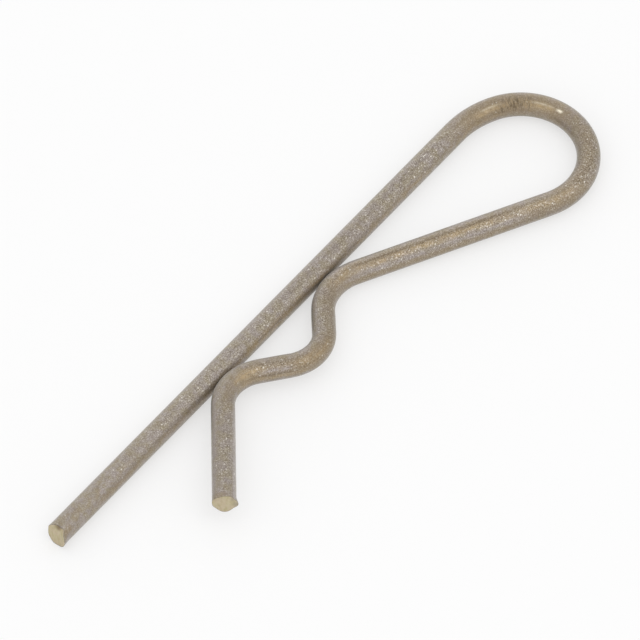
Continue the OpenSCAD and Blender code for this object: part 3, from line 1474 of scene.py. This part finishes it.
WIRE_MARKS = (
    # Heat tint of the bends, and brown bands low on the leg and on the return leg
    *marks_of(
        Mark.TEMPER,
        (59.0, 122.0, 8.5, 1.9, 0.95),
        (70.0, 88.0, 7.0, 1.5, 0.7),
        (74.5, 36.0, 5.5, 0.9, 0.8),
        (86.0, 6.0, 13.0, 0.7, 0.75),
        (86.0, 84.0, 13.0, 0.6, 0.7),
        (96.0, 50.0, 5.0, 1.4, 0.75),
        (105.2, 46.0, 8.0, 1.4, 0.9),
        (111.5, 62.0, 4.0, 0.9, 0.55),
        (7.0, 160.0, 4.0, 0.5, 0.7),
        (12.0, 165.0, 14.0, 0.7, 0.2),
        (0.5, 140.0, 0.7, 0.5, 0.8),
        (123.3, 110.0, 0.6, 1.3, 0.7),
    ),
    # Painted straw highlights and reflections on the eye, the return leg, the humps and the seat,
    # and painted light that lifts the shaded low side of the leg
    *marks_of(
        Mark.STRAW,
        # painted light that lifts the shaded low side of the leg
        (17.0, 154.0, 9.0, 0.4, 0.3),
        (29.0, 155.0, 10.0, 0.55, 0.7),
        (43.0, 158.0, 9.0, 0.5, 0.45),
        (55.0, 157.0, 6.0, 0.45, 0.4),
        # painted highlights and reflections on the eye, the return leg and the bends
        (56.6, 126.0, 2.0, 0.42, 0.9),
        (61.4, 123.0, 1.9, 0.4, 1.0),
        (75.2, 66.0, 3.8, 0.55, 0.65),
        (85.5, 66.0, 11.0, 0.55, 0.65),
        (93.8, 80.0, 2.4, 0.7, 0.5),
        (103.0, 60.0, 2.2, 0.8, 0.55),
        (106.2, 9.0, 3.2, 0.28, 0.5),
        (108.9, 60.0, 2.2, 0.7, 0.75),
        (108.9, 18.0, 2.2, 0.5, 0.4),
    ),
    # Painted pale highlight bands beside the straw highlights and along the rims of the hump, the
    # return leg, the seat and the free end, then the skin of the burr
    *marks_of(
        Mark.BLOOM,
        # painted pale highlight bands along the rims
        (98.6, 133.0, 2.6, 0.28, 0.7),
        (117.0, 138.0, 6.5, 0.35, 0.6),
        (86.0, 36.0, 12.0, 0.38, 0.8),
        (106.4, 42.0, 2.2, 0.4, 0.8),
        (118.6, 34.0, 7.0, 0.4, 0.9),
        # the skin of the burr
        (123.6, -7.0, 0.8, 0.5, 0.6),
    ),
    # Open grain, where the wire was stretched; it also sets where the pits and the painted glints
    # crowd
    *marks_of(
        Mark.SPARK,
        (30.0, 104.0, 28.0, 1.6, 0.7),
        (46.0, 100.0, 9.0, 1.6, 1.0),
        (69.2, 82.0, 5.5, 1.7, 1.0),
        (83.0, 55.0, 14.0, 1.3, 0.85),
        (98.0, 90.0, 6.0, 1.5, 0.8),
        (106.0, 60.0, 3.5, 1.2, 0.8),
        (117.5, 76.0, 7.5, 1.6, 0.75),
    ),
    # Chatter of the bending pin across the wire
    *marks_of(
        Mark.CHATTER,
        (59.1, 124.0, 2.5, 1.1, 0.75),
        (57.2, 118.0, 1.6, 0.6, 0.2),
    ),
    # Faint dirt on the leg, the bends and the free end; then darker marks, most of them painted
    # shade: dark lines on the eye, the return leg and the seat, shadows along the humps where they
    # meet the leg, and shade in the dent at the tip
    *marks_of(
        Mark.GRIME_AND_SHADE,
        (38.0, 92.0, 15.0, 0.6, 0.14),
        (57.0, 66.0, 6.0, 0.6, 0.14),
        (67.5, 90.0, 4.5, 7.0, 0.13),
        # painted shade on the low side of the return leg
        (75.5, 8.0, 5.0, 0.4, 0.18),
        (98.6, 106.0, 2.6, 0.3, 0.12),
        (99.5, 72.0, 6.5, 1.25, 0.2),
        (107.5, 108.0, 4.0, 0.7, 0.2),
        (116.5, 90.0, 8.5, 1.5, 0.16),
        (58.8, 126.0, 2.4, 0.9, 0.22),
        # painted shade: a dark band along the eye's outer top
        (64.8, 161.0, 2.6, 0.35, 0.35),
        # painted shade: a dark line along the return leg
        (86.0, 86.0, 12.0, 0.2, 0.35),
        (100.2, 78.0, 1.6, 0.7, 0.2),
        # painted shade: a dark line low on the seat
        (106.9, 25.0, 3.0, 0.17, 0.4),
        # painted shadows along the humps where they meet the leg
        (98.6, 160.0, 2.1, 0.17, 1.0),
        (113.4, 163.0, 3.0, 0.14, 1.0),
        # painted shade in the dent of the cutter's first bite at the tip
        (-0.15, 94.0, 0.3, 0.6, 0.85),
    ),
    # Painted highlights: bright streaks on the eye, and the painted glint at the end of one
    *marks_of(
        Mark.GLEAM,
        (56.8, 114.0, 1.2, 0.14, 0.3),
        (61.7, 114.0, 1.4, 0.14, 0.35),
        (63.35, 114.0, 0.32, 0.18, 1.7),
    ),
)


def main() -> None:
    """Builds the wire, the table, the light and the camera, in that order."""
    logging.basicConfig(level=logging.INFO, format="%(name)s: %(message)s")
    bpy.context.scene.view_settings.view_transform = "Standard"
    wire = BentWire().build("bent_wire", WIRE_MARKS)
    wire.data.materials.append(SpringWireFinish().material())
    wire.data.materials.append(CutFaceFinish().material())
    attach(wire, "root")
    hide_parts(PART_NODE)
    studio = Studio()
    studio.lay_table(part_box(PART_NODE)[0].z)
    studio.light()
    ViewPoint().place_camera()


if __name__ == "__main__":
    main()
